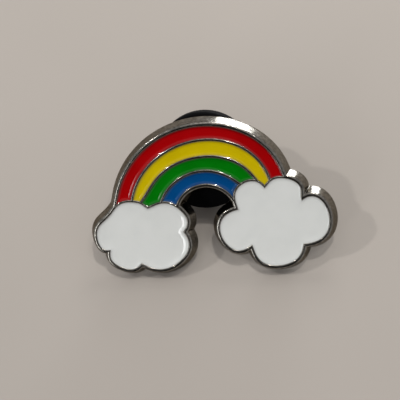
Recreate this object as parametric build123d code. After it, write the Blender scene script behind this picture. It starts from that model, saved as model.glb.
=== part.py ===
from build123d import *
import os
from math import atan2, cos, sin, radians, degrees, comb
import numpy as np

# ----------------------------------------------------------------------------
# Soft-enamel lapel pin: a rainbow standing on two clouds, a nail post brazed
# to its back and a black rubber clutch on the post.
#
# The pin is drawn lying flat (x = width, y = height, z = out of its face, the
# front of the rim at z = 0) and is then leaned back until the bottoms of the
# two clouds and the boss of the clutch stand on one surface.
# All lengths are in millimetres.
# ----------------------------------------------------------------------------

# die-struck body
THICK = 1.50          # front of the rim to the back face
FLARE = 0.51          # the side wall drafts out by this much towards the back
CELL_FLOOR = 0.75     # depth of the recessed cells
ENAMEL_TOP = 0.20     # the colour stops this far below the rim
CELL_GROW = 0.10      # cell wall, outside the drawn outline
RIM_GROW = 0.56       # outer edge of the rim, outside the drawn outline
RIDGE_HALF = 0.17     # half width of the raised lines between the stripes
CLOUD_RIDGE = 0.38    # stripe ends, outside the drawn outline of the clouds
EDGE_BREAK = 0.09     # broken front edge of the rim

# nail post, on the back of the arch
POST_X, POST_Y = -1.53, 3.15
HEAD_R, HEAD_T = 2.25, 0.40
SHANK_R = 0.575
POST_LEN = 10.0       # back face to the tip
POINT_LEN = 0.45
POINT_R = 0.22
GROOVE_FROM, GROOVE_TO, GROOVE_R = 8.35, 8.95, 0.40   # from the back face
SEAT_R, SEAT_T = 2.75, 0.10      # shallow seat that locates the nail's head
SOLDER_H = 0.30

# rubber clutch
FLANGE_R, FLANGE_T = 5.85, 2.00
BOSS_R, CLUTCH_H = 3.20, 6.00
HOLE_R = 0.605
GAP = 2.10            # back face to the clutch, room for a lapel

# outline curves: each lobe and each stripe edge is one Bezier curve, drawn
# anticlockwise, so that its right-hand side is the outside
LINES = {
    "arch_outer": [(7.72, 1.99), (5.85, 8.28), (-3.16, 10.60), (-9.81, 6.00), (-11.46, -0.09)],
    "ridge_red_yellow": [(6.40, 1.40), (4.75, 6.99), (-2.54, 8.50), (-8.56, 4.74), (-9.86, -0.38)],
    "ridge_yellow_green": [(4.78, 1.44), (3.60, 3.10), (1.09, 7.10), (-7.04, 3.19), (-5.90, 3.03), (-8.74, -0.64)],
    "ridge_green_blue": [(2.85, 0.99), (0.76, 2.89), (-2.19, 3.70), (-5.36, 1.66), (-6.35, -0.64)],
    "arch_inner": [(2.56, -1.35), (1.91, 0.42), (0.21, 1.84), (-2.27, 1.91), (-4.05, 0.57), (-4.79, -1.16)],
    "left_top": [(-8.21, -1.64), (-10.21, -0.52), (-5.05, -1.27), (-22.96, 0.49), (-0.48, -0.06), (-19.88, -9.28), (-12.35, 3.12), (-15.76, -6.91), (-14.17, -6.31), (-13.15, -6.32)],
    "left_lower": [(-12.92, -6.60), (-13.16, -7.93), (-12.95, -8.08), (-10.57, -9.19), (-10.49, -9.07), (-9.50, -8.12)],
    "left_bottom": [(-9.16, -8.19), (-7.74, -8.97), (-6.06, -10.08), (-3.59, -7.08), (-2.97, -6.56), (-4.22, -4.57)],
    "left_inner": [(-4.05, -4.25), (-2.82, -2.63), (-4.57, -2.58), (-4.94, 0.10), (-6.86, -1.28), (-7.88, -1.62)],
    "right_crest": [(5.64, 0.30), (4.63, 1.51), (4.31, 1.33), (1.27, 0.75), (2.51, -1.02), (2.66, -1.94)],
    "right_inner": [(2.47, -2.26), (0.98, -2.57), (-1.26, -3.55), (0.86, -6.94), (1.92, -7.66), (3.63, -6.42)],
    "right_bottom": [(4.05, -6.45), (4.62, -8.08), (4.33, -9.85), (8.97, -8.93), (9.23, -8.55), (9.74, -6.60)],
    "right_outer": [(9.98, -6.35), (11.95, -6.24), (13.70, -5.63), (13.48, -2.29), (12.03, -0.01), (10.18, -1.33)],
    "right_top": [(9.79, -1.16), (9.46, 0.16), (11.21, 0.98), (6.61, 1.85), (7.02, 1.43), (5.99, 0.36)],
}


# ----------------------------------------------------------------------------
# outlines: offset each curve sideways, then cut neighbours where they cross
# ----------------------------------------------------------------------------
def bezier(ctrl, t):
    n = len(ctrl) - 1
    t = np.asarray(t)[:, None]
    k = np.arange(n + 1)[None, :]
    w = np.array([comb(n, j) for j in range(n + 1)])[None, :]
    return (w * t ** k * (1 - t) ** (n - k)) @ np.asarray(ctrl, float)


def offset_line(name, d, reverse=False):
    ctrl = np.asarray(LINES[name], float)
    reach = 2.2 if name == "arch_outer" else 1.0     # straight run-on at both ends
    t = np.linspace(0, 1, 161)
    p = bezier(ctrl, t)
    tan = (len(ctrl) - 1) * bezier(np.diff(ctrl, axis=0), t)
    tan /= np.hypot(tan[:, 0], tan[:, 1])[:, None]
    q = p + d * np.c_[tan[:, 1], -tan[:, 0]]
    k = np.linspace(1, 0, 9)[:-1, None] * reach
    q = np.vstack([q[0] - tan[0] * k, q, q[-1] + tan[-1] * k[::-1]])
    return q[::-1] if reverse else q


def crossing(a, b):
    a0, a1, b0, b1 = a[:-1], a[1:], b[:-1], b[1:]
    r, s = (a1 - a0)[:, None, :], (b1 - b0)[None, :, :]
    w = b0[None] - a0[:, None]
    den = r[..., 0] * s[..., 1] - r[..., 1] * s[..., 0]
    den = np.where(np.abs(den) < 1e-14, np.inf, den)
    t = (w[..., 0] * s[..., 1] - w[..., 1] * s[..., 0]) / den
    u = (w[..., 0] * r[..., 1] - w[..., 1] * r[..., 0]) / den
    hits = [(i + t[i, j], j + u[i, j]) for i, j in
            zip(*np.where((t > 0) & (t <= 1) & (u > 0) & (u <= 1)))]
    i, j = max(hits, key=lambda h: h[0] / len(a) - h[1] / len(b))
    k = int(i)
    return i, j, a[k] + (i - k) * (a[min(k + 1, len(a) - 1)] - a[k])


def outline(spec):
    runs = [offset_line(*s) for s in spec]
    cuts = [crossing(runs[k], runs[(k + 1) % len(runs)]) for k in range(len(runs))]
    out = []
    for k, run in enumerate(runs):
        start, end = cuts[k - 1][1], cuts[k][0]
        i = np.arange(int(np.floor(start)) + 1, int(np.floor(end)) + 1)
        p = np.vstack([cuts[k - 1][2], run[i], cuts[k][2]])
        d = np.hypot(*np.diff(p, axis=0).T)
        out.append(p[np.r_[True, d > 1e-5]])
    return out


def body_outline(grow):
    e = RIM_GROW + grow
    return outline([("arch_outer", e), ("left_top", e), ("left_lower", e),
                    ("left_bottom", e), ("left_inner", e), ("arch_inner", -e, True),
                    ("right_crest", e), ("right_inner", e), ("right_bottom", e),
                    ("right_outer", e), ("right_top", e)])


C, R, E = CELL_GROW, RIDGE_HALF, CLOUD_RIDGE
CELLS = {
    "enamel_red": [("arch_outer", C), ("left_top", E, True),
                   ("ridge_red_yellow", R, True), ("right_top", E, True)],
    "enamel_yellow": [("ridge_red_yellow", -R), ("left_top", E, True),
                      ("ridge_yellow_green", R, True), ("right_crest", E, True),
                      ("right_top", E, True)],
    "enamel_green": [("ridge_yellow_green", -R), ("left_top", E, True),
                     ("left_inner", E, True), ("ridge_green_blue", R, True),
                     ("right_crest", E, True)],
    "enamel_blue": [("ridge_green_blue", -R), ("left_inner", E, True),
                    ("arch_inner", -C, True), ("right_crest", E, True)],
    "enamel_cloud_left": [("left_top", C), ("left_lower", C), ("left_bottom", C),
                          ("left_inner", C)],
    "enamel_cloud_right": [("right_crest", C), ("right_inner", C), ("right_bottom", C),
                           ("right_outer", C), ("right_top", C)],
}


# ----------------------------------------------------------------------------
# curves to edges, faces and solids
# ----------------------------------------------------------------------------
def fit_edge(p, z):
    """One Bezier edge through a run of points, its two ends exact."""
    d = np.r_[0, np.cumsum(np.hypot(*np.diff(p, axis=0).T))]
    t = d / d[-1]
    n = 3 if d[-1] < 0.8 else 5 if d[-1] < 4.0 else 9
    m = len(p)
    if m < n + 4:                                   # densify very short runs
        s = np.linspace(0, 1, 24)
        p = np.c_[np.interp(s, t, p[:, 0]), np.interp(s, t, p[:, 1])]
        t = s
    k = np.arange(n + 1)[None, :]
    w = np.array([comb(n, j) for j in range(n + 1)])[None, :]
    b = w * t[:, None] ** k * (1 - t[:, None]) ** (n - k)
    rhs = p - b[:, :1] * p[0] - b[:, -1:] * p[-1]
    inner, *_ = np.linalg.lstsq(b[:, 1:-1], rhs, rcond=None)
    ctrl = np.vstack([p[0], inner, p[-1]])
    return Bezier(*[(float(x), float(y), z) for x, y in ctrl])


def face_at(runs, z):
    wire = Wire([fit_edge(p, z) for p in runs])
    return Face(wire)


def loft_between(lower, upper):
    return Solid.make_loft([lower.outer_wire(), upper.outer_wire()], ruled=True)


def solid_of(shape):
    return shape if isinstance(shape, Solid) else max(shape.solids(), key=lambda s: s.volume)


# drafted body blank with a broken front edge
front = face_at(body_outline(-EDGE_BREAK), 0.0)
edge = face_at(body_outline(0.0), -EDGE_BREAK)
back = face_at(body_outline(FLARE), -THICK)
blank = solid_of(loft_between(back, edge) + loft_between(edge, front))

# cells and the colour poured into them
cell_faces = {name: face_at(outline(spec), -CELL_FLOOR) for name, spec in CELLS.items()}
body = blank
for name, face in cell_faces.items():
    body = body - extrude(face, CELL_FLOOR + 0.5, dir=(0, 0, 1))
enamel = {name: extrude(face, CELL_FLOOR - ENAMEL_TOP, dir=(0, 0, 1))
          for name, face in cell_faces.items()}

# shallow seat for the nail's head
seat = Pos(POST_X, POST_Y, -THICK) * Cylinder(SEAT_R, 2 * SEAT_T)
body = body - seat


def turned(points):
    """Revolve a closed (radius, depth behind the back face) profile about the post."""
    with BuildPart() as p:
        with BuildSketch(Plane.XZ):
            with BuildLine():
                Polyline(*[(r, -THICK - d) for r, d in points], close=True)
            make_face()
        revolve(axis=Axis.Z)
    return Pos(POST_X, POST_Y, 0) * solid_of(p.part)


head_top = -SEAT_T                                   # depth of the seat's floor
head_end = head_top + HEAD_T
post_nail = turned([(0, head_top), (HEAD_R, head_top), (HEAD_R, head_end - 0.08),
                    (HEAD_R - 0.08, head_end), (SHANK_R + 0.12, head_end),
                    (SHANK_R, head_end + 0.12), (SHANK_R, GROOVE_FROM),
                    (GROOVE_R, GROOVE_FROM + 0.10), (GROOVE_R, GROOVE_TO - 0.10),
                    (SHANK_R, GROOVE_TO), (SHANK_R, POST_LEN - POINT_LEN),
                    (POINT_R, POST_LEN - 0.05), (POINT_R - 0.08, POST_LEN), (0, POST_LEN)])

# ring of solder round the head, a concave fillet drawn with two facets
solder_joint = turned([(HEAD_R, head_top), (SEAT_R - 0.05, head_top), (SEAT_R - 0.05, 0.02),
                       (HEAD_R + 0.20, 0.10), (HEAD_R + 0.07, SOLDER_H - 0.10),
                       (HEAD_R, SOLDER_H - 0.08)])

# rubber clutch: flange towards the pin, boss away from it, a hole right through
g = GAP
clutch = turned([(HOLE_R + 0.45, g), (FLANGE_R - 0.35, g), (FLANGE_R, g + 0.35),
                 (FLANGE_R, g + FLANGE_T - 0.45), (FLANGE_R - 0.45, g + FLANGE_T),
                 (BOSS_R + 0.35, g + FLANGE_T), (BOSS_R, g + FLANGE_T + 0.35),
                 (BOSS_R, g + CLUTCH_H), (HOLE_R + 0.25, g + CLUTCH_H),
                 (HOLE_R, g + CLUTCH_H - 0.25), (HOLE_R, g + 0.45)])

# ----------------------------------------------------------------------------
# lean the pin back on its clutch
# ----------------------------------------------------------------------------
ring = np.vstack(body_outline(FLARE))
low = ring[:, 1].min()                               # lowest point of the back edge
TILT = atan2(GAP + CLUTCH_H, POST_Y - BOSS_R - low)  # pin's face above the horizontal
front_low = np.vstack(body_outline(0.0))[:, 1].min()
y_front = front_low * cos(TILT) + EDGE_BREAK * sin(TILT)
y_rear = (POST_Y + BOSS_R) * cos(TILT) + (THICK + GAP + CLUTCH_H) * sin(TILT)
ORIGIN = (-(ring[:, 0].min() + ring[:, 0].max()) / 2,
          -(y_front + y_rear) / 2,
          -low * sin(TILT) + THICK * cos(TILT))
stand = Plane(origin=ORIGIN, x_dir=(1, 0, 0), z_dir=(0, -sin(TILT), cos(TILT))).location

nodes = {"pin_body": body, **enamel, "post_nail": post_nail,
         "solder_joint": solder_joint, "rubber_clutch": clutch}

os.makedirs("parts", exist_ok=True)
for name, shape in nodes.items():
    placed = stand * solid_of(shape)
    placed.label = name
    export_step(placed, f"parts/{name}.step")

print("tilt of the face above horizontal, degrees", round(degrees(TILT), 4))
print("origin of the flat drawing", [round(v, 4) for v in ORIGIN])
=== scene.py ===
import math
from math import comb

import bpy
import numpy as np
from mathutils import Matrix, Vector
from mathutils.geometry import delaunay_2d_cdt

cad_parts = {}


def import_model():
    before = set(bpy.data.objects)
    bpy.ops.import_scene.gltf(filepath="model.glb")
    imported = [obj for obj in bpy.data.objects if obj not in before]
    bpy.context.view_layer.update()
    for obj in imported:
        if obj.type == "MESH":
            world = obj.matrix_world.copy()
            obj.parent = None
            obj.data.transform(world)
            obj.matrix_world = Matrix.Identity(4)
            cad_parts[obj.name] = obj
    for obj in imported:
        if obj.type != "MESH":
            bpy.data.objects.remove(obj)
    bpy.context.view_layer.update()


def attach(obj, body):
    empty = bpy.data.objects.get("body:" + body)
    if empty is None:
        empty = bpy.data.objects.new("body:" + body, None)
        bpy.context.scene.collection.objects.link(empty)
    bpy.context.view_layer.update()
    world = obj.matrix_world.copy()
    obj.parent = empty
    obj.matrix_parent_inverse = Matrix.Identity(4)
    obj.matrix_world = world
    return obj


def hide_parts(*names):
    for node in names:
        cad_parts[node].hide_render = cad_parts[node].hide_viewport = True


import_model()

# ---------------------------------------------------------------------------
# sizes of the pin, in millimetres, the same as in the CAD part
# ---------------------------------------------------------------------------
MM = 0.001
THICK = 1.50
FLARE = 0.51
CELL_FLOOR = 0.75
CELL_GROW = 0.10
RIM_GROW = 0.56
RIDGE_HALF = 0.17
CLOUD_RIDGE = 0.38
EDGE_BREAK = 0.09
POST_X, POST_Y = -1.53, 3.15
BOSS_R, CLUTCH_H, GAP = 3.20, 6.00, 2.10

LINES = {
    "arch_outer": [(7.72, 1.99), (5.85, 8.28), (-3.16, 10.60), (-9.81, 6.00), (-11.46, -0.09)],
    "ridge_red_yellow": [(6.40, 1.40), (4.75, 6.99), (-2.54, 8.50), (-8.56, 4.74), (-9.86, -0.38)],
    "ridge_yellow_green": [(4.78, 1.44), (3.60, 3.10), (1.09, 7.10), (-7.04, 3.19), (-5.90, 3.03), (-8.74, -0.64)],
    "ridge_green_blue": [(2.85, 0.99), (0.76, 2.89), (-2.19, 3.70), (-5.36, 1.66), (-6.35, -0.64)],
    "arch_inner": [(2.56, -1.35), (1.91, 0.42), (0.21, 1.84), (-2.27, 1.91), (-4.05, 0.57), (-4.79, -1.16)],
    "left_top": [(-8.21, -1.64), (-10.21, -0.52), (-5.05, -1.27), (-22.96, 0.49), (-0.48, -0.06), (-19.88, -9.28), (-12.35, 3.12), (-15.76, -6.91), (-14.17, -6.31), (-13.15, -6.32)],
    "left_lower": [(-12.92, -6.60), (-13.16, -7.93), (-12.95, -8.08), (-10.57, -9.19), (-10.49, -9.07), (-9.50, -8.12)],
    "left_bottom": [(-9.16, -8.19), (-7.74, -8.97), (-6.06, -10.08), (-3.59, -7.08), (-2.97, -6.56), (-4.22, -4.57)],
    "left_inner": [(-4.05, -4.25), (-2.82, -2.63), (-4.57, -2.58), (-4.94, 0.10), (-6.86, -1.28), (-7.88, -1.62)],
    "right_crest": [(5.64, 0.30), (4.63, 1.51), (4.31, 1.33), (1.27, 0.75), (2.51, -1.02), (2.66, -1.94)],
    "right_inner": [(2.47, -2.26), (0.98, -2.57), (-1.26, -3.55), (0.86, -6.94), (1.92, -7.66), (3.63, -6.42)],
    "right_bottom": [(4.05, -6.45), (4.62, -8.08), (4.33, -9.85), (8.97, -8.93), (9.23, -8.55), (9.74, -6.60)],
    "right_outer": [(9.98, -6.35), (11.95, -6.24), (13.70, -5.63), (13.48, -2.29), (12.03, -0.01), (10.18, -1.33)],
    "right_top": [(9.79, -1.16), (9.46, 0.16), (11.21, 0.98), (6.61, 1.85), (7.02, 1.43), (5.99, 0.36)],
}


# ---------------------------------------------------------------------------
# outlines
# ---------------------------------------------------------------------------
def bezier(ctrl, t):
    n = len(ctrl) - 1
    t = np.asarray(t)[:, None]
    k = np.arange(n + 1)[None, :]
    w = np.array([comb(n, j) for j in range(n + 1)])[None, :]
    return (w * t ** k * (1 - t) ** (n - k)) @ np.asarray(ctrl, float)


def offset_line(name, d, reverse=False):
    ctrl = np.asarray(LINES[name], float)
    reach = 2.2 if name == "arch_outer" else 1.0
    t = np.linspace(0, 1, 161)
    p = bezier(ctrl, t)
    tan = (len(ctrl) - 1) * bezier(np.diff(ctrl, axis=0), t)
    tan /= np.hypot(tan[:, 0], tan[:, 1])[:, None]
    q = p + d * np.c_[tan[:, 1], -tan[:, 0]]
    k = np.linspace(1, 0, 9)[:-1, None] * reach
    q = np.vstack([q[0] - tan[0] * k, q, q[-1] + tan[-1] * k[::-1]])
    return q[::-1] if reverse else q


def crossing(a, b):
    a0, a1, b0, b1 = a[:-1], a[1:], b[:-1], b[1:]
    r, s = (a1 - a0)[:, None, :], (b1 - b0)[None, :, :]
    w = b0[None] - a0[:, None]
    den = r[..., 0] * s[..., 1] - r[..., 1] * s[..., 0]
    den = np.where(np.abs(den) < 1e-14, np.inf, den)
    t = (w[..., 0] * s[..., 1] - w[..., 1] * s[..., 0]) / den
    u = (w[..., 0] * r[..., 1] - w[..., 1] * r[..., 0]) / den
    hits = [(i + t[i, j], j + u[i, j]) for i, j in
            zip(*np.where((t > 0) & (t <= 1) & (u > 0) & (u <= 1)))]
    i, j = max(hits, key=lambda h: h[0] / len(a) - h[1] / len(b))
    k = int(i)
    return i, j, a[k] + (i - k) * (a[min(k + 1, len(a) - 1)] - a[k])


def outline(spec):
    runs = [offset_line(*s) for s in spec]
    cuts = [crossing(runs[k], runs[(k + 1) % len(runs)]) for k in range(len(runs))]
    out = []
    for k, run in enumerate(runs):
        start, end = cuts[k - 1][1], cuts[k][0]
        i = np.arange(int(np.floor(start)) + 1, int(np.floor(end)) + 1)
        p = np.vstack([cuts[k - 1][2], run[i], cuts[k][2]])
        d = np.hypot(*np.diff(p, axis=0).T)
        out.append(p[np.r_[True, d > 1e-5]])
    return out


def body_spec(grow):
    e = RIM_GROW + grow
    return [("arch_outer", e), ("left_top", e), ("left_lower", e), ("left_bottom", e),
            ("left_inner", e), ("arch_inner", -e, True), ("right_crest", e),
            ("right_inner", e), ("right_bottom", e), ("right_outer", e), ("right_top", e)]


def cell_spec(name, d):
    """The outline of one cell, grown outward by d."""
    c, r, e = CELL_GROW + d, RIDGE_HALF - d, CLOUD_RIDGE - d
    return {
        "red": [("arch_outer", c), ("left_top", e, True), ("ridge_red_yellow", r, True),
                ("right_top", e, True)],
        "yellow": [("ridge_red_yellow", -r), ("left_top", e, True),
                   ("ridge_yellow_green", r, True), ("right_crest", e, True),
                   ("right_top", e, True)],
        "green": [("ridge_yellow_green", -r), ("left_top", e, True),
                  ("left_inner", e, True), ("ridge_green_blue", r, True),
                  ("right_crest", e, True)],
        "blue": [("ridge_green_blue", -r), ("left_inner", e, True),
                 ("arch_inner", -c, True), ("right_crest", e, True)],
        "cloud_left": [("left_top", c), ("left_lower", c), ("left_bottom", c),
                       ("left_inner", c)],
        "cloud_right": [("right_crest", c), ("right_inner", c), ("right_bottom", c),
                        ("right_outer", c), ("right_top", c)],
    }[name]


CELLS = ("red", "yellow", "green", "blue", "cloud_left", "cloud_right")

# how the pin leans: the same sums as the CAD part
_ring = np.vstack(outline(body_spec(FLARE)))
_low = _ring[:, 1].min()
TILT = math.atan2(GAP + CLUTCH_H, POST_Y - BOSS_R - _low)
CT, ST = math.cos(TILT), math.sin(TILT)
_front = np.vstack(outline(body_spec(0.0)))[:, 1].min() * CT + EDGE_BREAK * ST
_rear = (POST_Y + BOSS_R) * CT + (THICK + GAP + CLUTCH_H) * ST
ORIGIN = np.array([-(_ring[:, 0].min() + _ring[:, 0].max()) / 2, -(_front + _rear) / 2,
                   -_low * ST + THICK * CT])


def world(p):
    """Points of the flat drawing (x, y, out of the face), mm, to the row frame, m."""
    p = np.atleast_2d(np.asarray(p, float))
    return MM * (ORIGIN + np.c_[p[:, 0], p[:, 1] * CT - p[:, 2] * ST,
                                p[:, 1] * ST + p[:, 2] * CT])


# ---------------------------------------------------------------------------
# mesh building
# ---------------------------------------------------------------------------
def resample(runs, counts):
    """The same number of points along each run, evenly spaced, last point left out."""
    out = []
    for p, m in zip(runs, counts):
        d = np.r_[0, np.cumsum(np.hypot(*np.diff(p, axis=0).T))]
        s = np.linspace(0, d[-1], m + 1)[:-1]
        out.append(np.c_[np.interp(s, d, p[:, 0]), np.interp(s, d, p[:, 1])])
    return np.vstack(out)


def counts_for(runs, step):
    return [max(3, int(round(np.hypot(*np.diff(p, axis=0).T).sum() / step))) for p in runs]


class Build:
    """Vertices and faces of one closed mesh."""

    def __init__(self):
        self.v, self.f, self.m, self.n = [], [], [], 0

    def points(self, xy, z):
        p = np.c_[xy, np.broadcast_to(np.asarray(z, float), len(xy))]
        self.v.append(p)
        ids = np.arange(self.n, self.n + len(p))
        self.n += len(p)
        return ids

    def faces(self, rows, mat=0):
        rows = np.asarray(rows)
        self.f.append(rows)
        self.m.append(np.full(len(rows), mat))

    def bridge(self, a, b, mat=0):
        """Quads between two rings; their fronts face right of the ring's travel seen with b above a."""
        a2, b2 = np.roll(a, -1), np.roll(b, -1)
        self.faces(np.c_[a, a2, b2, b], mat)

    def make(self, name, place=world):
        v = place(np.vstack(self.v))
        quads = np.vstack([f for f in self.f if f.shape[1] == 4] or [np.zeros((0, 4), int)])
        tris = np.vstack([f for f in self.f if f.shape[1] == 3] or [np.zeros((0, 3), int)])
        mq = np.concatenate([m for f, m in zip(self.f, self.m) if f.shape[1] == 4] or [[]])
        mt = np.concatenate([m for f, m in zip(self.f, self.m) if f.shape[1] == 3] or [[]])
        mesh = bpy.data.meshes.new(name)
        mesh.from_pydata(v.tolist(), [], quads.tolist() + tris.tolist())
        mesh.polygons.foreach_set("material_index", np.concatenate([mq, mt]).astype(np.int32))
        mesh.polygons.foreach_set("use_smooth", np.ones(len(mesh.polygons), bool))
        mesh.update()
        obj = bpy.data.objects.new(name, mesh)
        bpy.context.scene.collection.objects.link(obj)
        return obj


def inside(points, rings):
    """Even-odd test of points against closed rings."""
    odd = np.zeros(len(points), bool)
    for ring in rings:
        a, b = ring, np.roll(ring, -1, axis=0)
        for s in range(0, len(points), 4000):
            x, y = points[s:s + 4000, :1], points[s:s + 4000, 1:]
            cross = (a[None, :, 1] > y) != (b[None, :, 1] > y)
            dy = np.where(b[:, 1] == a[:, 1], 1e-12, b[:, 1] - a[:, 1])
            xi = a[None, :, 0] + (y - a[None, :, 1]) * ((b[:, 0] - a[:, 0]) / dy)[None]
            odd[s:s + 4000] ^= ((cross & (x < xi)).sum(1) % 2).astype(bool)
    return odd


def triangulate(rings, extra=None):
    """Triangles (index rows, anticlockwise) over the region between rings."""
    pts = np.vstack(rings + ([extra] if extra is not None and len(extra) else []))
    edges, start = [], 0
    for r in rings:
        i = np.arange(start, start + len(r))
        edges += np.c_[i, np.roll(i, -1)].tolist()
        start += len(r)
    _, _, faces, orig, _, _ = delaunay_2d_cdt(
        [Vector(p) for p in pts.tolist()], edges, [], 0, 1e-7, True)
    back = np.array([o[0] if len(o) else -1 for o in orig])
    tri = back[np.array([f for f in faces if len(f) == 3])]
    tri = tri[(tri >= 0).all(1)]
    a, b, c = pts[tri[:, 0]], pts[tri[:, 1]], pts[tri[:, 2]]
    area = (b[:, 0] - a[:, 0]) * (c[:, 1] - a[:, 1]) - (b[:, 1] - a[:, 1]) * (c[:, 0] - a[:, 0])
    tri = np.where((area < 0)[:, None], tri[:, ::-1], tri)
    keep = inside((a + b + c) / 3, rings) & (np.abs(area) > 1e-9)
    return tri[keep]


def boundary_distance(q, ring):
    a, b = ring, np.roll(ring, -1, axis=0)
    ab = b - a
    l2 = (ab ** 2).sum(1)
    out = np.empty(len(q))
    for s in range(0, len(q), 3000):
        d = q[s:s + 3000, None, :] - a[None]
        t = np.clip((d * ab[None]).sum(2) / l2[None], 0, 1)
        e = d - t[..., None] * ab[None]
        out[s:s + 3000] = np.sqrt((e ** 2).sum(2).min(1))
    return out


def inner_points(ring, offsets, hex_step, hex_from):
    """Points inside a ring: rows that follow its edge, then a hexagonal grid."""
    nxt, prv = np.roll(ring, -1, axis=0), np.roll(ring, 1, axis=0)
    tan = nxt - prv
    tan /= np.hypot(tan[:, 0], tan[:, 1])[:, None]
    inward = np.c_[-tan[:, 1], tan[:, 0]]
    rows = []
    for k, o in enumerate(offsets):
        step = 1 if o < 0.16 else 2
        q = (ring + inward * o)[(k % step)::step]
        d = boundary_distance(q, ring)
        rows.append(q[(d > 0.94 * o) & inside(q, [ring])])
    lo, hi = ring.min(0), ring.max(0)
    ys = np.arange(lo[1], hi[1], hex_step * 0.866)
    grid = np.vstack([np.c_[np.arange(lo[0], hi[0], hex_step) + (hex_step / 2) * (j % 2),
                            np.full(len(np.arange(lo[0], hi[0], hex_step)), y)]
                      for j, y in enumerate(ys)])
    grid = grid[inside(grid, [ring])]
    if len(grid):
        grid = grid[boundary_distance(grid, ring) > hex_from]
        rows.append(grid)
    return np.vstack(rows)


def waves(p, seed, size):
    """Slow, smooth unevenness in the range -1 to 1."""
    rng = np.random.default_rng(seed)
    out = np.zeros(len(p))
    for k in range(7):
        ang, ph = rng.uniform(0, 2 * math.pi, 2)
        f = 2 * math.pi / (size * rng.uniform(0.6, 1.6))
        out += np.sin(f * (p[:, 0] * math.cos(ang) + p[:, 1] * math.sin(ang)) + ph)
    return out / 4.0


# ---------------------------------------------------------------------------
# plated body: crowned rim, drafted wall, rounded ridges between the colours
# ---------------------------------------------------------------------------
def curve_points(ctrl, m):
    return bezier(np.asarray(ctrl, float), np.linspace(0, 1, m))


INNER_ROUND, INNER_DROP = 0.125, 0.13
wall_slope = FLARE / (THICK - EDGE_BREAK)


def on_wall(z):
    return (-z - EDGE_BREAK) * wall_slope


CROWN_Z = -0.155
crown = curve_points([(-0.275, 0.0), (-0.15, -0.003), (on_wall(CROWN_Z) - 0.050, -0.028),
                      (on_wall(CROWN_Z), CROWN_Z)], 15)
flank = np.c_[on_wall(np.linspace(CROWN_Z, -1.44, 9)), np.linspace(CROWN_Z, -1.44, 9)][1:]
heel = curve_points([(on_wall(-1.44), -1.44), (FLARE - 0.004, -1.494), (0.44, -THICK)], 7)[1:]
profile = np.vstack([crown, flank, heel])

body = Build()
STEP = 0.065
base_counts = counts_for(outline(body_spec(0.0)), STEP)
body_rings = []
for grow, z in profile:
    xy = resample(outline(body_spec(grow)), base_counts)
    body_rings.append((xy, body.points(xy, z)))
for (_, upper), (_, lower) in zip(body_rings[:-1], body_rings[1:]):
    body.bridge(lower, upper)

cell_counts = {c: counts_for(outline(cell_spec(c, 0.0)), STEP) for c in CELLS}
hole_xy, hole_ids = [], []
for c in CELLS:
    top_xy, previous = None, None
    t = np.linspace(math.pi / 2, 0, 10)
    steps = [(INNER_ROUND * (1 - math.cos(a)), -INNER_DROP * (1 - math.sin(a))) for a in t]
    for d, z in steps + [(0.0, -0.42), (0.0, -CELL_FLOOR)]:
        xy = resample(outline(cell_spec(c, d)), cell_counts[c])
        ids = body.points(xy, z)
        if previous is None:
            hole_xy.append(xy)
            hole_ids.append(ids)
        else:
            body.bridge(previous, ids)
        previous, last_xy = ids, xy
    tri = triangulate([last_xy])
    body.faces(previous[tri])

top_xy, top_ids = body_rings[0]
tri = triangulate([top_xy] + hole_xy)
body.faces(np.concatenate([top_ids] + hole_ids)[tri])

# back face, with the shallow seat for the nail's head
back_xy, back_ids = body_rings[-1]
ang = np.linspace(0, 2 * math.pi, 97)[:-1]


def circle(r):
    return np.c_[POST_X + r * np.cos(ang), POST_Y + r * np.sin(ang)]


lip = circle(2.78)
lip_ids = body.points(lip, -THICK)
back_extra = inner_points(back_xy, [0.05, 0.12], 0.8, 0.5)
back_extra = back_extra[np.hypot(back_extra[:, 0] - POST_X, back_extra[:, 1] - POST_Y) > 3.0]
extra_ids = body.points(back_extra, -THICK)
tri = triangulate([back_xy, lip], back_extra)
body.faces(np.concatenate([back_ids, lip_ids, extra_ids])[tri][:, ::-1], 1)
seat_prev = lip_ids
for r, z in ((2.757, -THICK + 0.007), (2.75, -THICK + 0.03), (2.75, -THICK + 0.093), (2.743, -THICK + 0.10)):
    ids = body.points(circle(r), z)
    body.bridge(ids, seat_prev, 1)
    seat_prev = ids
mid = body.points([(POST_X, POST_Y)], -THICK + 0.10)[0]
nxt = np.roll(seat_prev, -1)
body.faces(np.c_[nxt, seat_prev, np.full(len(nxt), mid)], 1)
plated = body.make("plated_body")

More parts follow.
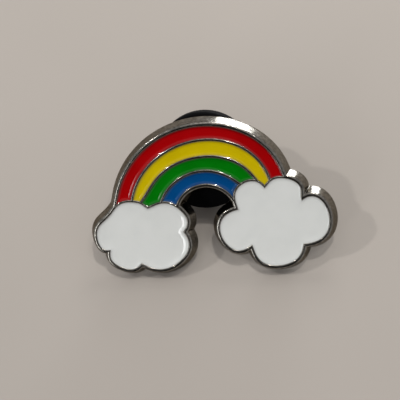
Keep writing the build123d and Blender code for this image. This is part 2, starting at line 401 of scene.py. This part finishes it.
# ---------------------------------------------------------------------------
# colour pools: level a little below the rim, creeping up the metal at the edge
# ---------------------------------------------------------------------------
POOLS = {  # level, steep creep (height, length), wide creep (height, length), dish, seed
    "red": (-0.206, (0.104, 0.140), (0.072, 0.27), 0.006, 11),
    "yellow": (-0.204, (0.108, 0.140), (0.066, 0.25), 0.006, 12),
    "green": (-0.208, (0.110, 0.140), (0.068, 0.25), 0.006, 13),
    "blue": (-0.212, (0.112, 0.140), (0.070, 0.26), 0.006, 14),
    "cloud_left": (-0.190, (0.060, 0.090), (0.070, 0.36), 0.014, 15),
    "cloud_right": (-0.170, (0.034, 0.100), (0.066, 0.34), 0.014, 16),
}
pools = {}
for c in CELLS:
    level, (h1, l1), (h2, l2), dish, seed = POOLS[c]
    edge_grow = 0.025 if "cloud" in c else 0.058     # how far up the rounded flank the colour is drawn
    ring = resample(outline(cell_spec(c, edge_grow)), cell_counts[c])
    extra = inner_points(ring, [0.022, 0.046, 0.072, 0.10, 0.132, 0.17, 0.22, 0.28, 0.36, 0.46], 0.20, 0.53)
    both = np.vstack([ring, extra])
    d = np.r_[np.zeros(len(ring)), boundary_distance(extra, ring)]
    if c == "cloud_left":
        # on its right side the white sank as it cured and pulls up to the metal in a wide wavy slope
        sag = 1 / (1 + np.exp(-(both[:, 0] + 6.3) / 0.45))
        wave = 1 + 0.16 * np.sin(both[:, 1] * 2.9 + 0.6) + 0.10 * np.sin(both[:, 1] * 5.3 + 1.9)
        h1, h2, l2 = h1 - 0.040 * sag, h2 + 0.125 * sag, l2 + 0.10 * sag * wave
        level = level - 0.085 * sag
    else:
        # flatter and sharper at the right-hand ends of the stripes
        keep = 1 / (1 + np.exp((both[:, 0] - 3.9) / 0.5)) if "cloud" not in c else np.ones(len(both))
        level = level + 0.75 * h2 * (1 - keep)
        h2, l1 = h2 * (0.25 + 0.75 * keep), l1 * (0.50 + 0.50 * keep)
    z = (level + h1 * np.exp(-d / l1) + h2 * np.exp(-d / l2) - dish * (1 - np.exp(-d / 1.3))
         + 0.0035 * waves(both, seed, 2.2) * (1 - np.exp(-d / 0.25)))
    pool = Build()
    top = pool.points(both, z)
    tri = triangulate([ring], extra)
    pool.faces(top[tri])
    edge = top[:len(ring)]
    foot = resample(outline(cell_spec(c, 0.004)), cell_counts[c])
    waist = pool.points(foot, -0.16)
    low = pool.points(foot, -CELL_FLOOR + 0.004)
    pool.bridge(waist, edge)
    pool.bridge(low, waist)
    pool.faces(low[triangulate([foot])][:, ::-1])
    pools[c] = pool.make("pool_" + c)
    # painted shade: the colour is darkened where it runs up the metal, partly for thin colour over the plating, partly
    # for shade from the raised metal edge
    edge_shade_and_thin = np.exp(-boundary_distance(both, ring) / 0.13)
    if c == "red":
        # and a painted shadow of the tall outer rim along the red's outer edge
        rim = outline(cell_spec(c, edge_grow))[0]
        k = np.linspace(0, len(rim) - 1, 8 * len(rim))
        rim = np.c_[np.interp(k, np.arange(len(rim)), rim[:, 0]), np.interp(k, np.arange(len(rim)), rim[:, 1])]
        near = np.array([np.hypot(*(rim - q).T).min() for q in both])
        edge_shade_and_thin = np.maximum(edge_shade_and_thin, np.exp(-(near / 0.24) ** 2))
    edge_shade_and_thin = np.r_[edge_shade_and_thin, np.ones(pool.n - len(edge_shade_and_thin))].astype(np.float32)
    # the painted edge shade is stored on the points for the enamel material to darken its colour
    pools[c].data.attributes.new("edge_shade_and_thin", "FLOAT", "POINT").data.foreach_set("value", edge_shade_and_thin)


# ---------------------------------------------------------------------------
# turned pieces: nail post, solder, rubber clutch
# ---------------------------------------------------------------------------
def soften(points, cuts, steps=5, closed=False):
    """Round each corner of a profile, cutting back the given length."""
    p = np.asarray(points, float)
    out = []
    for k in range(len(p)):
        if not closed and k in (0, len(p) - 1):
            out.append(p[k])
            continue
        c = cuts[k] if hasattr(cuts, "__len__") else cuts
        a, b = p[k - 1], p[(k + 1) % len(p)]
        la, lb = np.hypot(*(a - p[k])), np.hypot(*(b - p[k]))
        q0 = p[k] + (a - p[k]) * min(c / la, 0.45)
        q1 = p[k] + (b - p[k]) * min(c / lb, 0.45)
        out += list(curve_points([q0, p[k], q1], steps))
    return np.array(out)


def turn(name, prof, segments, closed=False, shape=None, split=0.25):
    """Revolve a (radius, depth behind the back face) profile about the post."""
    fine = [prof[0]]
    pairs = list(zip(prof, np.roll(prof, -1, axis=0))) if closed else list(zip(prof[:-1], prof[1:]))
    for a, b in pairs:
        m = max(1, int(math.ceil(np.hypot(*(b - a)) / split)))
        fine += [a + (b - a) * (k / m) for k in range(1, m + 1)]
    fine = np.array(fine[:-1] if closed else fine)
    th = np.linspace(0, 2 * math.pi, segments + 1)[:-1]
    b = Build()
    rings = []
    for r, dep in fine:
        if r < 1e-9:
            rings.append(b.points([(POST_X, POST_Y)], -THICK - dep))
            continue
        rr, dd = (np.full(segments, r), np.full(segments, dep)) if shape is None else shape(r, dep, th)
        rings.append(b.points(np.c_[POST_X + rr * np.cos(th), POST_Y + rr * np.sin(th)],
                              -THICK - dd))
    order = list(zip(rings, rings[1:] + rings[:1])) if closed else list(zip(rings[:-1], rings[1:]))
    for lo, hi in order:
        if len(lo) == 1 and len(hi) == 1:
            continue
        if len(lo) == 1:
            b.faces(np.c_[hi, np.roll(hi, -1), np.full(len(hi), lo[0])])
        elif len(hi) == 1:
            b.faces(np.c_[np.roll(lo, -1), lo, np.full(len(lo), hi[0])])
        else:
            b.bridge(hi, lo)
    return b.make(name)


nail_profile = soften([(0, -0.10), (2.25, -0.10), (2.25, 0.30), (0.575, 0.30), (0.575, 8.35),
                       (0.40, 8.43), (0.40, 8.87), (0.575, 8.95), (0.575, 9.55), (0.24, 9.94),
                       (0.17, 10.0), (0, 10.0)],
                      [0, 0.03, 0.10, 0.16, 0.05, 0.06, 0.06, 0.05, 0.12, 0.05, 0.04, 0], 6)


def nail_shape(r, dep, th):
    # upset head of a drawn nail: not quite round, shank with faint draw marks
    rr = np.full(len(th), r)
    if dep < 0.31 and r > 1.5:
        rr = rr - 0.012 + 0.012 * np.sin(2 * th + 0.7) + 0.006 * np.sin(5 * th + 2.0)
    return rr, np.full(len(th), dep)


nail = turn("post_nail_turned", nail_profile, 96, shape=nail_shape)

solder_profile = np.vstack([[(2.20, -0.099), (2.71, -0.099), (2.715, -0.01)],
                            curve_points([(2.70, 0.012), (2.44, 0.035), (2.31, 0.12), (2.285, 0.275)], 8),
                            [(2.20, 0.285)]])


def solder_shape(r, dep, th):
    # the fillet ran a little further on one side and has slow ripples
    w = (0.55 * np.sin(th + 0.6) + 0.30 * np.sin(2 * th + 2.1) + 0.22 * np.sin(5 * th + 0.3)
         + 0.12 * np.sin(9 * th + 1.1))
    rr, dd = np.full(len(th), r), np.full(len(th), dep)
    if r > 2.25 and dep > -0.05:
        rr = r + 0.022 * w * (1 if r < 2.6 else 0.6)
        dd = dep + (0.022 * w if dep > 0.02 else 0.004 * w)
    return rr, dd


solder = turn("solder_fillet", solder_profile, 144, closed=True, shape=solder_shape, split=0.12)

g = GAP
f0, f1 = g, g + 2.0
clutch_points = [(1.02, g + 0.02), (1.7, g), (5.0, g), (5.85, g + 0.02), (5.85, g + 0.96), (5.868, g + 1.00),
                 (5.85, g + 1.04), (5.85, f1), (4.6, f1 + 0.0), (3.2, f1 + 0.02), (3.2, g + 5.99),
                 (0.86, g + 6.0), (0.605, g + 5.74), (0.605, g + 0.46)]
clutch_cuts = [0.18, 0.3, 0.5, 0.36, 0.03, 0.02, 0.03, 0.46, 0.5, 0.40, 0.34, 0.10, 0.10, 0.12]
clutch_profile = soften(clutch_points, clutch_cuts, 7, closed=True)


def clutch_shape(r, dep, th):
    # soft moulding: the faces sink very slightly between the edge and the boss
    rr, dd = np.full(len(th), r), np.full(len(th), dep)
    if dep < g + 0.05 and 1.7 < r < 5.3:
        dd = dd + 0.05 * math.sin(math.pi * (r - 1.7) / 3.6) ** 2
    if abs(dep - f1) < 0.05 and 3.6 < r < 5.3:
        dd = dd - 0.03 * math.sin(math.pi * (r - 3.6) / 1.7) ** 2
    if r > 3.0:
        rr = rr - 0.010 + 0.010 * np.sin(2 * th + 1.2)
    return rr, dd


clutch = turn("rubber_clutch_moulded", clutch_profile, 160, closed=True, shape=clutch_shape,
              split=0.30)


# ---------------------------------------------------------------------------
# materials, all procedural; lengths in metres
# ---------------------------------------------------------------------------
def material(name):
    m = bpy.data.materials.new(name)
    m.use_nodes = True
    nt = m.node_tree
    for n in list(nt.nodes):
        nt.nodes.remove(n)
    out = nt.nodes.new("ShaderNodeOutputMaterial")
    bsdf = nt.nodes.new("ShaderNodeBsdfPrincipled")
    nt.links.new(bsdf.outputs["BSDF"], out.inputs["Surface"])
    coord = nt.nodes.new("ShaderNodeTexCoord")
    return m, nt, bsdf, coord


def noise(nt, vector, scale, detail=3.0, rough=0.5, distortion=0.0):
    n = nt.nodes.new("ShaderNodeTexNoise")
    n.inputs["Scale"].default_value = scale
    n.inputs["Detail"].default_value = detail
    n.inputs["Roughness"].default_value = rough
    n.inputs["Distortion"].default_value = distortion
    nt.links.new(vector, n.inputs["Vector"])
    return n.outputs["Fac"]


def stretched(nt, coord, scale, rotation=(0, 0, 0)):
    m = nt.nodes.new("ShaderNodeMapping")
    m.inputs["Scale"].default_value = scale
    m.inputs["Rotation"].default_value = rotation
    nt.links.new(coord.outputs["Object"], m.inputs["Vector"])
    return m.outputs["Vector"]


def ramp(nt, fac, stops):
    r = nt.nodes.new("ShaderNodeValToRGB")
    while len(r.color_ramp.elements) < len(stops):
        r.color_ramp.elements.new(0.5)
    for e, (pos, col) in zip(r.color_ramp.elements, stops):
        e.position = pos
        e.color = (*col, 1.0)
    nt.links.new(fac, r.inputs["Fac"])
    return r.outputs["Color"]


def to_range(nt, fac, lo, hi, a=0.3, b=0.7):
    m = nt.nodes.new("ShaderNodeMapRange")
    m.inputs["From Min"].default_value = a
    m.inputs["From Max"].default_value = b
    m.inputs["To Min"].default_value = lo
    m.inputs["To Max"].default_value = hi
    nt.links.new(fac, m.inputs["Value"])
    return m.outputs["Result"]


def bump(nt, height, distance, strength=1.0, below=None):
    b = nt.nodes.new("ShaderNodeBump")
    b.inputs["Distance"].default_value = distance
    b.inputs["Strength"].default_value = strength
    nt.links.new(height, b.inputs["Height"])
    if below is not None:
        nt.links.new(below, b.inputs["Normal"])
    return b.outputs["Normal"]


def enamel(name, light, mid, dark, grain=1.0, edge_shade_tone=0.35, skin_ior=1.43):
    """Opaque colour with a clear glassy skin: pigment slightly mottled, surface softly uneven."""
    m, nt, b, co = material(name)
    v = co.outputs["Object"]
    slow = noise(nt, v, 420.0, 2.0, 0.5)
    b_col = ramp(nt, slow, [(0.30, dark), (0.50, mid), (0.72, light)])
    # painted shade: the colour is darkened near the metal edges by the stored edge shade, partly for thin colour over
    # the plating, partly for shade from the raised metal
    edge = nt.nodes.new("ShaderNodeAttribute")
    edge.attribute_name = "edge_shade_and_thin"
    depth = nt.nodes.new("ShaderNodeVectorMath")
    depth.operation = "SCALE"
    nt.links.new(b_col, depth.inputs[0])
    nt.links.new(to_range(nt, edge.outputs["Fac"], 1.0, edge_shade_tone, 0.05, 1.0), depth.inputs["Scale"])
    nt.links.new(depth.outputs["Vector"], b.inputs["Base Color"])
    fine = noise(nt, v, 2600.0, 4.0, 0.6)
    nt.links.new(to_range(nt, fine, 0.34, 0.46), b.inputs["Roughness"])
    b.inputs["Specular IOR Level"].default_value = 0.0
    b.inputs["Coat Weight"].default_value = 1.0
    b.inputs["Coat Roughness"].default_value = 0.035
    b.inputs["Coat IOR"].default_value = skin_ior
    n1 = bump(nt, slow, 0.000012 * grain, 0.5)
    n2 = bump(nt, fine, 0.0000012 * grain, 0.5, n1)
    nt.links.new(n1, b.inputs["Coat Normal"])
    nt.links.new(n2, b.inputs["Normal"])
    return m


M_RED = enamel("enamel_red", (0.372, 0.0013, 0.0028), (0.352, 0.0010, 0.0022), (0.325, 0.0008, 0.0018))
M_YELLOW = enamel("enamel_yellow", (0.610, 0.470, 0.0016), (0.585, 0.450, 0.0013), (0.550, 0.418, 0.0010))
M_GREEN = enamel("enamel_green", (0.0010, 0.182, 0.0036), (0.0009, 0.170, 0.0030), (0.0008, 0.155, 0.0026))
M_BLUE = enamel("enamel_blue", (0.0013, 0.064, 0.218), (0.0011, 0.058, 0.205), (0.0010, 0.053, 0.190))
# the white takes a lighter painted edge shade (0.62 of its colour at the edge)
M_WHITE = enamel("enamel_white", (0.735, 0.748, 0.728), (0.720, 0.735, 0.712), (0.700, 0.716, 0.695), 0.8, 0.62, 1.58)


def plated_metal():
    m, nt, b, co = material("black_nickel")
    v = co.outputs["Object"]
    b.inputs["Metallic"].default_value = 1.0
    b.inputs["Specular Tint"].default_value = (0.46, 0.43, 0.39, 1.0)
    cloudy = noise(nt, v, 700.0, 3.0, 0.55, 0.3)
    plating = ramp(nt, cloudy, [(0.25, (0.180, 0.167, 0.146)), (0.55, (0.236, 0.221, 0.196)),
                                (0.80, (0.298, 0.282, 0.255))])
    # finer mottling over the cloudy tone
    mottle = noise(nt, v, 3600.0, 3.0, 0.65)
    shade = nt.nodes.new("ShaderNodeVectorMath")
    shade.operation = "SCALE"
    nt.links.new(plating, shade.inputs[0])
    nt.links.new(to_range(nt, mottle, 0.56, 1.56), shade.inputs["Scale"])
    nt.links.new(shade.outputs["Vector"], b.inputs["Base Color"])
    fine = noise(nt, v, 9000.0, 4.0, 0.6)
    nt.links.new(to_range(nt, cloudy, 0.13, 0.21), b.inputs["Roughness"])
    # tumbling marks: short fine scratches in two directions
    s1 = noise(nt, stretched(nt, co, (900.0, 9000.0, 9000.0), (0.3, 0.2, 0.6)), 1.0, 2.0, 0.6)
    s2 = noise(nt, stretched(nt, co, (8000.0, 900.0, 8000.0), (-0.4, 0.5, -0.3)), 1.0, 2.0, 0.6)
    pits = noise(nt, v, 4200.0, 3.0, 0.6)
    n = bump(nt, cloudy, 0.000022, 0.5)
    n = bump(nt, pits, 0.0000075, 0.6, n)
    n = bump(nt, s1, 0.0000010, 0.5, n)
    n = bump(nt, s2, 0.0000010, 0.5, n)
    n = bump(nt, fine, 0.0000006, 0.5, n)
    nt.links.new(n, b.inputs["Normal"])
    return m


def sandblasted_back():
    m, nt, b, co = material("black_nickel_blasted")
    v = co.outputs["Object"]
    b.inputs["Metallic"].default_value = 1.0
    tone = noise(nt, v, 500.0, 3.0, 0.5)
    nt.links.new(ramp(nt, tone, [(0.3, (0.20, 0.19, 0.165)), (0.7, (0.27, 0.26, 0.23))]),
                 b.inputs["Base Color"])
    grit = noise(nt, v, 14000.0, 4.0, 0.7)
    nt.links.new(to_range(nt, grit, 0.36, 0.52), b.inputs["Roughness"])
    vor = nt.nodes.new("ShaderNodeTexVoronoi")
    vor.inputs["Scale"].default_value = 9000.0
    nt.links.new(v, vor.inputs["Vector"])
    n = bump(nt, vor.outputs["Distance"], 0.000012, 0.6)
    n = bump(nt, grit, 0.000010, 0.6, n)
    nt.links.new(n, b.inputs["Normal"])
    return m


def nickel_steel():
    m, nt, b, co = material("post_steel")
    v = co.outputs["Object"]
    b.inputs["Metallic"].default_value = 1.0
    tone = noise(nt, v, 1200.0, 3.0, 0.5)
    nt.links.new(ramp(nt, tone, [(0.3, (0.50, 0.485, 0.455)), (0.7, (0.60, 0.585, 0.555))]),
                 b.inputs["Base Color"])
    nt.links.new(to_range(nt, tone, 0.20, 0.30), b.inputs["Roughness"])
    # draw marks run along the shank
    lines = noise(nt, stretched(nt, co, (16000.0, 16000.0, 500.0), (-(math.pi / 2 - TILT) + math.pi / 2, 0, 0)), 1.0, 2.0, 0.6)
    n = bump(nt, lines, 0.0000025, 0.5)
    nt.links.new(n, b.inputs["Normal"])
    return m


def solder_metal():
    m, nt, b, co = material("solder")
    v = co.outputs["Object"]
    b.inputs["Metallic"].default_value = 1.0
    tone = noise(nt, v, 1600.0, 4.0, 0.6, 0.5)
    nt.links.new(ramp(nt, tone, [(0.25, (0.34, 0.32, 0.29)), (0.5, (0.50, 0.48, 0.45)),
                                 (0.8, (0.62, 0.60, 0.57))]), b.inputs["Base Color"])
    nt.links.new(to_range(nt, tone, 0.38, 0.24), b.inputs["Roughness"])
    n = bump(nt, tone, 0.00003, 0.5)
    nt.links.new(n, b.inputs["Normal"])
    return m


def black_rubber():
    m, nt, b, co = material("black_rubber")
    v = co.outputs["Object"]
    tone = noise(nt, v, 300.0, 3.0, 0.5)
    nt.links.new(ramp(nt, tone, [(0.3, (0.0030, 0.0030, 0.0034)), (0.7, (0.0055, 0.0055, 0.0060))]),
                 b.inputs["Base Color"])
    skin = noise(nt, v, 5200.0, 5.0, 0.65)
    nt.links.new(to_range(nt, skin, 0.50, 0.66), b.inputs["Roughness"])
    b.inputs["Specular IOR Level"].default_value = 0.03
    dust = noise(nt, v, 1500.0, 2.0, 0.5)
    n = bump(nt, dust, 0.00002, 0.4)
    n = bump(nt, skin, 0.000012, 0.6, n)
    nt.links.new(n, b.inputs["Normal"])
    return m


M_NICKEL, M_BACK = plated_metal(), sandblasted_back()
plated.data.materials.append(M_NICKEL)
plated.data.materials.append(M_BACK)
for c, mat in (("red", M_RED), ("yellow", M_YELLOW), ("green", M_GREEN), ("blue", M_BLUE),
               ("cloud_left", M_WHITE), ("cloud_right", M_WHITE)):
    pools[c].data.materials.append(mat)
nail.data.materials.append(nickel_steel())
solder.data.materials.append(solder_metal())
clutch.data.materials.append(black_rubber())

# ---------------------------------------------------------------------------
# each piece rides on its body and stands for its CAD node
# ---------------------------------------------------------------------------
for obj, body_name, node, slot in (
        [(plated, "pin", "pin_body", "black_nickel"),
         (nail, "pin", "post_nail", "post_steel"),
         (solder, "pin", "solder_joint", "solder"),
         (clutch, "clutch", "rubber_clutch", "black_rubber")]
        + [(pools[c], "pin", "enamel_" + c, "enamel_white" if "cloud" in c else "enamel_" + c)
           for c in CELLS]):
    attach(obj, body_name)
    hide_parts(node)

# ---------------------------------------------------------------------------
# plain pale floor
# ---------------------------------------------------------------------------
floor_mesh = bpy.data.meshes.new("floor")
S = 0.9
floor_mesh.from_pydata([(-S, -S, 0), (S, -S, 0), (S, S, 0), (-S, S, 0)], [], [(0, 1, 2, 3)])
floor = bpy.data.objects.new("floor", floor_mesh)
bpy.context.scene.collection.objects.link(floor)
fm, nt, b, co = material("floor_pale")
tone = noise(nt, co.outputs["Object"], 25.0, 2.0, 0.5)
nt.links.new(ramp(nt, tone, [(0.3, (0.368, 0.335, 0.302)), (0.7, (0.385, 0.350, 0.317))]),
             b.inputs["Base Color"])
b.inputs["Roughness"].default_value = 0.85
b.inputs["Specular IOR Level"].default_value = 0.2
floor_mesh.materials.append(fm)


# ---------------------------------------------------------------------------
# soft studio light
# ---------------------------------------------------------------------------
def area(name, direction, distance, size, power, colour=(1, 1, 1), aim=(0, 0, 0.008), along=None):
    d = Vector(direction).normalized()
    lamp = bpy.data.lights.new(name, "AREA")
    lamp.shape = "RECTANGLE"
    lamp.size, lamp.size_y = size
    lamp.energy = power
    lamp.color = colour
    o = bpy.data.objects.new(name, lamp)
    o.location = Vector(aim) + d * distance
    if along is None:
        o.rotation_euler = (-d).to_track_quat("-Z", "Y").to_euler()
    else:
        y = (Vector(along) - d * d.dot(Vector(along))).normalized()
        o.rotation_euler = Matrix((y.cross(d), y, d)).transposed().to_euler()
    bpy.context.scene.collection.objects.link(o)
    return o


def radiance_power(radiance, size):
    """Watts for a one-sided panel of that radiance."""
    return radiance * math.pi * size[0] * size[1]


for name, direction, distance, size, rad, colour in (
        ("overhead", (0.06, 0.30, 0.95), 0.60, (0.46, 0.36), 1.00, (1.0, 0.985, 0.965)),
        ("lamp_right", (0.20, 0.12, 0.97), 0.60, (0.023, 0.023), 560.0, (1.0, 0.98, 0.95)),
        ("lamp_small", (0.370, -0.018, 0.93), 0.60, (0.014, 0.014), 330.0, (1.0, 0.98, 0.96)),
        ("lamp_left", (-0.64, 0.066, 0.764), 0.60, (0.022, 0.022), 500.0, (1.0, 0.98, 0.96)),
        ("window_a", (0.113, 0.994, 0.085), 0.40, (0.074, 0.10), 17.0, (0.90, 0.95, 1.0)),
        ("window_b", (0.342, 0.940, 0.085), 0.40, (0.082, 0.10), 20.0, (0.90, 0.95, 1.0)),
        ("back_low", (0.18, 0.79, 0.58), 0.15, (0.07, 0.06), 4.8, (1.0, 0.985, 0.965))):
    area(name, direction, distance, size, radiance_power(rad, size), colour)
# a tall narrow window low on the left, in line with the face
area("window_low", (-0.460, -0.730, 0.505), 0.60, (0.085, 0.235), radiance_power(5.8, (0.085, 0.235)),
     (0.97, 0.985, 1.0), along=(0.0, CT, ST))

# a softly lit room, dark only behind the camera's side of the set
w = bpy.data.worlds.new("studio")
bpy.context.scene.world = w
w.use_nodes = True
wt = w.node_tree
back = wt.nodes["Background"]
wc = wt.nodes.new("ShaderNodeTexCoord")
squeeze = wt.nodes.new("ShaderNodeVectorMath")
squeeze.operation = "MULTIPLY"
squeeze.inputs[1].default_value = (1.5, 1.0, 0.55)
unit = wt.nodes.new("ShaderNodeVectorMath")
unit.operation = "NORMALIZE"
dot = wt.nodes.new("ShaderNodeVectorMath")
dot.operation = "DOT_PRODUCT"
dot.inputs[1].default_value = Vector((-0.21, -0.79, 0.25)).normalized()
wt.links.new(wc.outputs["Generated"], squeeze.inputs[0])
wt.links.new(squeeze.outputs["Vector"], unit.inputs[0])
wt.links.new(unit.outputs["Vector"], dot.inputs[0])
wr = wt.nodes.new("ShaderNodeValToRGB")
wr.color_ramp.elements[0].position = 0.84
wr.color_ramp.elements[0].color = (0.43, 0.43, 0.44, 1)
wr.color_ramp.elements[1].position = 0.95
wr.color_ramp.elements[1].color = (0.012, 0.012, 0.012, 1)
wt.links.new(dot.outputs["Value"], wr.inputs["Fac"])
wt.links.new(wr.outputs["Color"], back.inputs["Color"])
back.inputs["Strength"].default_value = 1.0

# ---------------------------------------------------------------------------
# camera
# ---------------------------------------------------------------------------
cam_data = bpy.data.cameras.new("camera")
cam_data.sensor_width = 36.0
cam_data.lens = 100.76
cam_data.clip_start = 0.01
cam = bpy.data.objects.new("camera", cam_data)
right = Vector((0.9874951, 0.02987194, -0.15479373))
up = Vector((0.04029774, 0.90143516, 0.43103451))
fwd = Vector((-0.15241234, 0.43188231, -0.88895903))
rot = Matrix((right, up, -fwd)).transposed()
cam.matrix_world = Matrix.Translation(Vector((0.0187513, -0.0586130, 0.1225551))) @ rot.to_4x4()
bpy.context.scene.collection.objects.link(cam)
bpy.context.scene.camera = cam
bpy.context.scene.view_settings.view_transform = "Standard"

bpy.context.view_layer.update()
